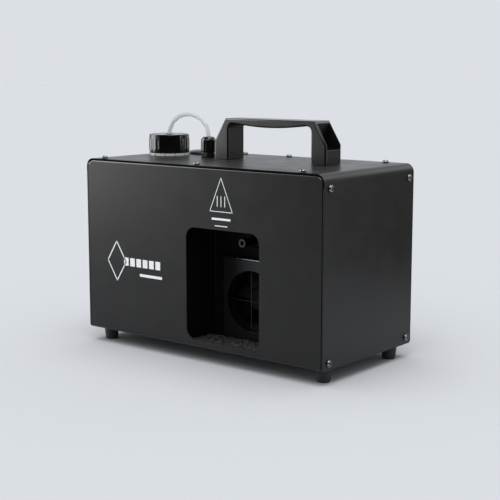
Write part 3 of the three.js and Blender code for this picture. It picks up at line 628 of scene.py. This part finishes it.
def add_case_screws():
    names = [n for n in frame["nodes"] if n.startswith(("top_screw", "side_screw"))]
    for number, name in enumerate(sorted(names)):
        low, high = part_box(name)
        spin = Matrix.Rotation(radians(37 * number), 4, "Z")
        build = moved(pan_head(3.7 * MM, 2.4 * MM), spin)
        if name.startswith("top"):
            seat = Vector(((low.x + high.x) / 2, (low.y + high.y) / 2, high.z - 2.4 * MM))
            turn = Matrix.Identity(4)
        else:
            sign = 1 if high.x > 0 else -1
            outer = high.x if sign > 0 else low.x
            seat = Vector((outer - sign * 2.4 * MM, (low.y + high.y) / 2, (low.z + high.z) / 2))
            turn = Matrix.Rotation(sign * pi / 2, 4, "Y")
        piece(moved(build, Matrix.Translation(seat) @ turn), f"{name}_pan_head", name, SCREW_ZINC)


def add_feet():
    for end in ("front", "rear"):
        for side in ("left", "right"):
            node = f"foot_{end}_{side}"
            low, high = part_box(node)
            tall = high.z
            profile = [
                (0, 6 * MM),
                (3.6 * MM, 6 * MM),
                (3.6 * MM, 0),
                (6.9 * MM, 0),
                (8.5 * MM, tall),
                (0, tall),
            ]
            rubber = turned(softened(profile, 0.9 * MM), 40)
            centre = Vector(((low.x + high.x) / 2, (low.y + high.y) / 2, 0))
            piece(moved(rubber, Matrix.Translation(centre)), f"{node}_rubber", node, RUBBER)
            screw = moved(pan_head(3 * MM, 1.8 * MM), Matrix.Rotation(pi, 4, "X"))
            seat = Matrix.Translation(centre + Vector((0, 0, 5.8 * MM)))
            piece(moved(screw, seat), f"{node}_screw", node, STEEL, replaces=False)


# ---------------------------------------------------------------- handle
def add_handle():
    """The hollow moulding: a rounded arch whose sloping ends are open pockets."""
    low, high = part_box("handle")
    middle = (low.x + high.x) / 2
    end = (high.x - low.x) / 2
    inside = end - 19.5 * MM
    grip = high.z - 5.4 * MM
    sag = 7 * MM
    slope = 15 * MM
    shoulder = high.z - 24.5 * MM
    corner = 7 * MM

    def bowed(start, control, stop, steps):
        for k in range(steps + 1):
            t = k / steps
            yield tuple(
                start[i] * (1 - t) ** 2 + control[i] * 2 * t * (1 - t) + stop[i] * t**2 for i in (0, 1)
            )

    outline = [(-end, low.z), (-inside, low.z)]
    outline += bowed((-inside, grip - corner), (-inside, grip), (corner - inside, grip), 6)
    outline += list(bowed((corner - inside, grip), (0, grip - sag), (inside - corner, grip), 16))[1:-1]
    outline += bowed((inside - corner, grip), (inside, grip), (inside, grip - corner), 6)
    outline += [
        (inside, low.z),
        (end, low.z),
        (end, shoulder),
        (end - slope, high.z),
        (slope - end, high.z),
        (-end, shoulder),
    ]
    solid = prism(outline, "y", low.y, high.y)
    rims = [
        edge
        for edge in solid.edges
        if edge.verts[0].co.y == edge.verts[1].co.y and max(v.co.z for v in edge.verts) > low.z
    ]
    bmesh.ops.bevel(solid, geom=rims, offset=2 * MM, segments=4, profile=0.5, affect="EDGES")

    wall = 2.4 * MM
    floor = shoulder - 5 * MM
    lid = high.z - 2.45 * MM
    back = inside + wall + 0.4 * MM
    mouth = end + 2 * MM
    lid_reach = end - slope + 1.5 * MM
    back_top = high.z - 14 * MM
    pockets = []
    for sign in (-1, 1):
        pocket = [
            (sign * back, floor),
            (sign * mouth, floor),
            (sign * mouth, lid),
            (sign * lid_reach, lid),
            (sign * back, back_top),
        ]
        pockets.append(prism(pocket, "y", low.y + wall, high.y - wall))
    handle = cut(solid, *pockets)
    bevelled(handle, 0.25 * MM, 2, over=50)
    moved(handle, Matrix.Translation((middle, 0, 0)))
    piece(handle, "handle_moulding", "handle", HANDLE_GREY, smooth_to=40)


# ---------------------------------------------------------------- cap, neck and gland
def add_cap():
    """A glossy screw cap with rounded ribs between a plain rim and a plain skirt."""
    ribs = 24
    height = CAP_HIGH.z - CAP_LOW.z
    rib = 0.45 * MM
    soft = 1.2 * MM
    plain = CAP_RADIUS - rib
    rib_low, rib_high = 2.2 * MM, height - 4.2 * MM

    def ribbed(angle, radius, z):
        if radius < plain - 0.1 * MM:
            return radius
        ease = min(max(min(z - rib_low, rib_high - z) / (1.4 * MM), 0), 1)
        wave = 0.5 + 0.5 * cos(angle * ribs)
        return radius + rib * ease * wave**0.6

    outer = [(plain, 0.8 * MM), (plain, rib_low)]
    steps = 10
    outer += [(plain, rib_low + (rib_high - rib_low) * k / steps) for k in range(1, steps + 1)]
    for k in range(7):
        angle = k / 6 * pi / 2
        outer.append((plain - soft + soft * cos(angle), height - soft + soft * sin(angle)))
    hole = 3.7 * MM
    bore = 19.4 * MM
    dish = 0.25 * MM
    profile = [
        (bore, 0),
        (plain - 0.6 * MM, 0),
        *outer,
        (plain - 3 * MM, height),
        (plain - 3.4 * MM, height - dish),
        (hole + 2.2 * MM, height - dish),
        (hole + 1.8 * MM, height),
        (hole, height),
        (hole, height - 2.5 * MM),
        (bore, height - 2.5 * MM),
        (bore, 0),
    ]
    cap = turned(profile, ribs * 8, ribbed)
    seat = Matrix.Translation((CAP_AXIS.x, CAP_AXIS.y, CAP_LOW.z))
    piece(moved(cap, seat), "ribbed_cap", "cap_ring", CAP_BLACK, smooth_to=50)

    low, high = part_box("cap_liner")
    washer = (high.x - low.x) / 2
    section = [(hole, low.z), (washer, low.z), (washer, high.z), (hole, high.z), (hole, low.z)]
    liner = moved(turned(softened(section, 0.3 * MM)), Matrix.Translation((CAP_AXIS.x, CAP_AXIS.y, 0)))
    piece(liner, "cap_seal_washer", "cap_liner", SEAL)


def add_neck():
    """The threaded neck, whose notched flange shows between the cap and the case."""
    low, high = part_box("filler_neck")
    flange = (high.x - low.x) / 2
    flange_low = TOP + 0.3 * MM
    flange_high = CAP_LOW.z - 0.3 * MM
    bore, wall = 16.2 * MM, 18.5 * MM
    profile = [(bore, low.z), (wall, low.z), (wall, flange_low), (flange, flange_low)]
    profile += [(flange, flange_high), (wall, flange_high)]
    thread_low, pitch, turns = flange_high + 3 * MM, 3.6 * MM, 3
    for k in range(turns):
        z = thread_low + k * pitch
        profile += [
            (wall, z),
            (wall + 0.7 * MM, z + 0.7 * MM),
            (wall + 0.7 * MM, z + 1.2 * MM),
            (wall, z + 1.9 * MM),
        ]
    profile += [(wall, high.z), (bore, high.z), (bore, low.z)]
    neck = turned(profile, 72)
    notches = []
    for k in range(12):
        notch = block(
            (flange - 1.6 * MM, -0.55 * MM, flange_low - MM), (flange + 2 * MM, 0.55 * MM, flange_high + MM)
        )
        notches.append(moved(notch, Matrix.Rotation(2 * pi * k / 12, 4, "Z")))
    neck = cut(neck, gathered(*notches))
    seat = Matrix.Translation((CAP_AXIS.x, CAP_AXIS.y, 0))
    piece(moved(neck, seat), "notched_neck", "filler_neck", NECK_GREY)


def add_gland():
    low, high = GLAND_LOW.z, GLAND_HIGH.z
    radius = (GLAND_HIGH.x - GLAND_LOW.x) / 2
    hole = HOSE_DIAMETER / 2 + 0.4 * MM
    flutes = 12
    shoulder = high - 6.1 * MM

    def fluted(angle, reach, z):
        if reach < radius * 0.93 or z > shoulder:
            return reach
        return reach - 0.35 * MM * (0.5 - 0.5 * cos(angle * flutes)) ** 2

    profile = [(5.5 * MM, low), (radius - 0.5 * MM, low), (radius, low + 0.5 * MM)]
    profile += [(radius, low + (shoulder - low) * k / 6) for k in range(1, 7)]
    for k in range(1, 9):
        angle = k / 8 * pi / 2
        rise = (high - shoulder) * sin(angle)
        profile.append((hole + 1.6 * MM + (radius - hole - 1.6 * MM) * cos(angle), shoulder + rise))
    profile += [(hole + 0.4 * MM, high), (hole, high - 0.5 * MM), (hole, low + 9 * MM)]
    profile += [(5.5 * MM, low + 9 * MM), (5.5 * MM, low)]
    nut = turned(profile, flutes * 8, fluted)
    seat = Matrix.Translation((GLAND_AXIS.x, GLAND_AXIS.y, 0))
    piece(moved(nut, seat), "domed_gland_nut", "gland_nut", CAP_BLACK, smooth_to=50)
    piece(bevelled(cad_build("gland_body"), 0.35 * MM, 2, over=40), "gland_hexagon", "gland_body", CAP_BLACK)


# ---------------------------------------------------------------- outlet bay
def add_drip_pad():
    """Coarse open foam on the floor of the bay, uneven on top."""
    low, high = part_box("drip_pad")
    build = bmesh.new()
    columns, rows = 130, 50
    lump_density = 420
    lump_height = 2.2 * MM
    base_drop = 0.9 * MM
    edge_sag = 1.3 * MM
    size = high - low
    grid = []
    for j in range(rows + 1):
        line = []
        for i in range(columns + 1):
            x, y = low.x + size.x * i / columns, low.y + size.y * j / rows
            spot = Vector((x, y, 0)) * lump_density
            lumps = noise.noise(spot) * 0.55 + noise.noise(spot * 0.31 + Vector((7, 3, 1))) * 0.45
            edge = min(i, columns - i, j, rows - j)
            sag = edge_sag * max(0, 1 - edge / 2) ** 2
            line.append(build.verts.new((x, y, high.z - base_drop + lumps * lump_height - sag)))
        grid.append(line)
    for j in range(rows):
        for i in range(columns):
            build.faces.new((grid[j][i], grid[j][i + 1], grid[j + 1][i + 1], grid[j + 1][i]))
    rim = [edge for edge in build.edges if edge.is_boundary]
    skirt = bmesh.ops.extrude_edge_only(build, edges=rim)["geom"]
    for vert in skirt:
        if isinstance(vert, bmesh.types.BMVert):
            vert.co.z = low.z
    bmesh.ops.holes_fill(build, edges=[edge for edge in build.edges if edge.is_boundary])
    bmesh.ops.recalc_face_normals(build, faces=build.faces)
    pad = piece(build, "foam_drip_pad", "drip_pad", FOAM, smooth_to=80)


def add_fan_plate():
    """A folded sheet with a large hole, and two crossed wires over the hole."""
    low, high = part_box("fan_plate")
    thick = 1.2 * MM
    fold = 2 * MM
    arcs = []
    for radius in (fold, fold - thick):
        arc = []
        for k in range(6):
            angle = pi - k / 5 * pi / 2
            arc.append((low.y + fold + radius * cos(angle), high.z - fold + radius * sin(angle)))
        arcs.append(arc)
    outer, inner = arcs
    section = [(low.y, low.z), *outer, (high.y, high.z), (high.y, high.z - thick), *inner[::-1]]
    section.append((low.y + thick, low.z))
    sheet = prism(section, "x", low.x, high.x)
    fan_low, fan_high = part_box("fan_frame")
    centre = (fan_low + fan_high) / 2
    hole = 33 * MM
    bore = moved(
        turned([(0, -0.01), (hole, -0.01), (hole, 0.01), (0, 0.01)], 72),
        Matrix.Translation((centre.x, low.y, centre.z)) @ Matrix.Rotation(pi / 2, 4, "X"),
    )
    sheet = bevelled(cut(sheet, bore), 0.2 * MM, 2, over=40)
    piece(sheet, "folded_fan_plate", "fan_plate", PLATE_PAINT)
    # Painted highlight: a strip of bright steel along the top of the fold stands in for the light caught on
    # the fold's edge.
    lip = 0.7 * MM
    edge = prism(
        [(low.y + 0.2 * MM, high.z + 0.02 * MM), (high.y, high.z + 0.02 * MM), (high.y, high.z - lip),
         (low.y - 0.02 * MM, high.z - lip), (low.y - 0.02 * MM, high.z - 0.25 * MM)],
        "x", low.x + 0.3 * MM, high.x - 0.3 * MM,
    )
    piece(edge, "plate_edge_painted_highlight", "fan_plate", STEEL, replaces=False)
    wires = []
    for turn in (0, pi / 2):
        wire = turned([(0, -hole), (0.5 * MM, -hole), (0.5 * MM, hole), (0, hole)], 10)
        wires.append(moved(wire, Matrix.Rotation(turn, 4, "Y")))
    cross = moved(gathered(*wires), Matrix.Translation((centre.x, low.y + 0.6 * MM, centre.z)))
    piece(cross, "crossed_wires", "fan_plate", WIRE, replaces=False)


def add_fan():
    """The fan wheel: a domed hub and seven swept, twisted blades."""
    low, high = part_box("fan_rotor")
    centre = (low + high) / 2
    hub, tip = 13.5 * MM, (high.x - low.x) / 2
    depth = high.y - low.y
    blade_count = 7
    root_pitch, pitch_drop = 48, 16
    root_chord, chord_gain = 20 * MM, 3 * MM
    camber_height = 1.6 * MM
    half_thick = 0.55 * MM
    sweep = 4 * MM
    half = depth / 2
    hub_wall = 1.4 * MM
    profile = [(0, half), (hub - 2 * MM, half), (hub, half - 2 * MM), (hub, -half)]
    profile += [(hub - hub_wall, -half), (hub - hub_wall, 0), (0, 0)]
    wheel = turned(softened(profile, 0.8 * MM), 48)
    blades = [wheel]
    for number in range(blade_count):
        build = bmesh.new()
        rows, columns = 6, 8
        faces = {}
        for side in (0, 1):
            for r in range(rows + 1):
                reach = hub - 0.5 * MM + (tip - 0.6 * MM - hub) * r / rows
                pitch = radians(root_pitch - pitch_drop * r / rows)
                chord = root_chord + chord_gain * r / rows
                for c in range(columns + 1):
                    along = (c / columns - 0.5) * chord
                    camber = camber_height * (1 - (2 * c / columns - 1) ** 2)
                    off = camber + (half_thick if side else -half_thick)
                    swept = sweep * (r / rows) ** 1.5
                    around = along * cos(pitch) - off * sin(pitch) * 0.4 + swept
                    rise = along * sin(pitch) + off * cos(pitch)
                    angle = around / reach
                    rise = max(min(rise, half - 0.3 * MM), 0.3 * MM - half)
                    faces[side, r, c] = build.verts.new((reach * cos(angle), reach * sin(angle), rise))
        for r in range(rows):
            for c in range(columns):
                for side in (0, 1):
                    quad = [(side, r, c), (side, r, c + 1), (side, r + 1, c + 1), (side, r + 1, c)]
                    build.faces.new([faces[q] for q in quad])
        for r in range(rows):
            for c in (0, columns):
                quad = [(0, r, c), (0, r + 1, c), (1, r + 1, c), (1, r, c)]
                build.faces.new([faces[q] for q in quad])
        for c in range(columns):
            for r in (0, rows):
                quad = [(0, r, c), (0, r, c + 1), (1, r, c + 1), (1, r, c)]
                build.faces.new([faces[q] for q in quad])
        bmesh.ops.recalc_face_normals(build, faces=build.faces)
        blades.append(moved(build, Matrix.Rotation(2 * pi * number / blade_count, 4, "Z")))
    lay = Matrix.Translation(centre) @ Matrix.Rotation(pi / 2, 4, "X")
    piece(moved(gathered(*blades), lay), "fan_wheel_blades", "fan_rotor", FAN_BLACK, smooth_to=40)


def add_nozzle():
    """A barrel in the dark bay paint as painted shade, with a bright rim round its bore."""
    low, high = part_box("nozzle")
    piece(bevelled(cad_build("nozzle"), 0.25 * MM, 2), "nozzle_barrel_painted_shade", "nozzle", BAY_PAINT_AND_SHADE)
    centre = (low + high) / 2
    outer, bore = 4.5 * MM, 2.4 * MM
    lift = 0.25 * MM
    rim = softened([(bore, -lift), (outer, -lift), (outer, lift), (bore, lift), (bore, -lift)], 0.2 * MM)
    seat = Matrix.Translation((centre.x, low.y, centre.z)) @ Matrix.Rotation(pi / 2, 4, "X")
    piece(moved(turned(rim, 32), seat), "nozzle_rim", "nozzle", BRASS, replaces=False)


# ---------------------------------------------------------------- the seam along the front of the top
def seam_outline(grow):
    """The upper part of the front panel's outline, a little below the top of the cover."""
    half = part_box("front_base_panel")[1].x + grow
    radius = 8 * MM + grow
    high = TOP - SEAM_STEP + grow
    arc = []
    for k in range(9):
        angle = k / 8 * pi / 2
        arc.append((half - radius + radius * cos(angle), high - radius + radius * sin(angle)))
    return [(half, SEAM_FOOT), *arc, *[(-x, z) for x, z in arc[::-1]], (-half, SEAM_FOOT)]


def raised_front_panel():
    """The front panel with its upper fold brought up close to the level of the cover."""
    ridge = prism(seam_outline(0), "y", FRONT, FRONT + 1.6 * MM)
    fold = []
    for edge in ridge.edges:
        a, b = (vert.co for vert in edge.verts)
        if max(a.y, b.y) < FRONT + 0.1 * MM and min(a.z, b.z) > SEAM_FOOT + MM:
            fold.append(edge)
    bmesh.ops.bevel(ridge, geom=fold, offset=1.2 * MM, segments=4, profile=0.5, affect="EDGES")
    return combined(cad_build("front_base_panel"), "UNION", ridge)


def trimmed_cover():
    """The cover, stopping short of the front panel's fold."""
    clear = seam_outline(2 * MM)
    return cut(cad_build("top_cover"), prism(clear, "y", FRONT - MM, FRONT + 1.9 * MM))


def paint_seam_shade(cover):
    """Gives the cover's cut edge behind the fold painted shade: the dark bay paint stands in for the shadow
    in the deep joint.
    """
    cover.data.materials.append(BAY_PAINT_AND_SHADE)
    for face in cover.data.polygons:
        in_seam_shade = FRONT + MM < face.center.y < FRONT + 2.5 * MM
        if in_seam_shade and face.normal.y < -0.5 and face.center.z > SEAM_FOOT:
            face.material_index = 1


def polish_fold(panel):
    """Gives the panel's upper fold the smoother paint of a pressed edge."""
    panel.data.materials.append(FOLD_PAINT)
    for face in panel.data.polygons:
        on_fold = face.center.y < FRONT + 1.3 * MM and face.center.z > SEAM_FOOT + 3 * MM
        if on_fold and 0.15 < -face.normal.y < 0.99:
            face.material_index = 1


# ---------------------------------------------------------------- marks on the front
def add_front_marks():
    """Plain shapes printed in white: a triangle with bars, and a diamond with a row of blocks."""
    film = (FRONT - 0.06 * MM, FRONT + 0.02 * MM)

    def stroke(points, width):
        """Bars of even width round a closed outline of (x, z) points in millimetres."""
        count = len(points)
        bars = []
        for i in range(count):
            a, b = Vector(points[i]) * MM, Vector(points[(i + 1) % count]) * MM
            along = (b - a).normalized() * width * MM / 2
            across = Vector((-along.y, along.x))
            corners = [a - along - across, b + along - across, b + along + across, a - along + across]
            bars.append(prism([tuple(c) for c in corners], "y", *film))
        return bars

    def bar(x0, x1, z0, z1):
        corners = [(x0, z0), (x1, z0), (x1, z1), (x0, z1)]
        return prism([(x * MM, z * MM) for x, z in corners], "y", *film)

    caution = stroke([(19.5, 162), (49.5, 162), (34.5, 196.5)], 0.7)
    caution += [bar(x - 0.45, x + 0.45, 167, 178) for x in (29.5, 34.5, 39.5)]
    caution += [bar(22, 47, 153.2, 155.4), bar(26, 43, 146.8, 147.7)]
    piece(gathered(*caution), "caution_print", "front_base_panel", PRINT, replaces=False)
    emblem = stroke([(-131, 96), (-117, 118), (-103, 96), (-117, 74)], 1.3)
    emblem += [bar(-106 + 9.5 * k, -99 + 9.5 * k, 92, 101) for k in range(6)]
    emblem += [bar(-82, -49, 82, 85)]
    piece(gathered(*emblem), "emblem_print", "front_base_panel", PRINT, replaces=False)


# ---------------------------------------------------------------- the rest, from the CAD solids
def add_refined_nodes():
    """Rounds the sharp edges of the remaining CAD solids and gives each its finish."""
    widths = {
        "front_base_panel": 0.4,
        "rear_panel": 0.3,
        "top_cover": 0.3,
        "tank": 1.2,
        "heater_block": 0.6,
        "heater_bracket": 0.3,
        "pump_body": 0.8,
        "fan_frame": 0.5,
        "bay_shroud": 0.25,
        "control_board": 0.25,
        "display_module": 0.3,
        "power_inlet": 0.5,
        "switch_housing": 0.4,
        "switch_rocker": 0.5,
        "fuse_holder": 0.4,
        "fuse_cap": 0.4,
        "xlr_out": 0.4,
        "xlr_in": 0.4,
        "xlr_latch": 0.3,
        "blanking_plug": 0.6,
        "gland_locknut": 0.4,
        "pump_piston": 0.4,
    }
    widths.update({f"menu_button_{k}": 0.35 for k in (1, 2, 3, 4)})
    finishes = {"bay_shroud": BAY_PAINT_AND_SHADE, "blanking_plug": CONNECTOR, "fan_frame": BAY_PAINT_AND_SHADE}
    reshaped = {"front_base_panel": raised_front_panel, "top_cover": trimmed_cover}
    touched_up = {"front_base_panel": polish_fold, "top_cover": paint_seam_shade}
    for node, width in widths.items():
        solid = reshaped[node]() if node in reshaped else cad_build(node)
        build = bevelled(solid, width * MM, 2)
        material = finishes.get(node, SLOT_FINISH[slot_of(node)])
        made = piece(build, f"{node}_edged", node, material)
        if node in touched_up:
            touched_up[node](made)
    for node in ("pickup_tube", "pump_feed_tube", "pump_outlet_tube"):
        piece(cad_build(node), f"{node}_smooth", node, TUBE_MILK, smooth_to=60)


# ---------------------------------------------------------------- everything
add_camera()
add_hose()
add_surroundings()
add_light()
add_case_screws()
add_feet()
add_handle()
add_cap()
add_neck()
add_gland()
add_drip_pad()
add_fan_plate()
add_fan()
add_nozzle()
add_front_marks()
add_refined_nodes()

scene.view_settings.view_transform = "Standard"
scene.cycles.use_denoising = True
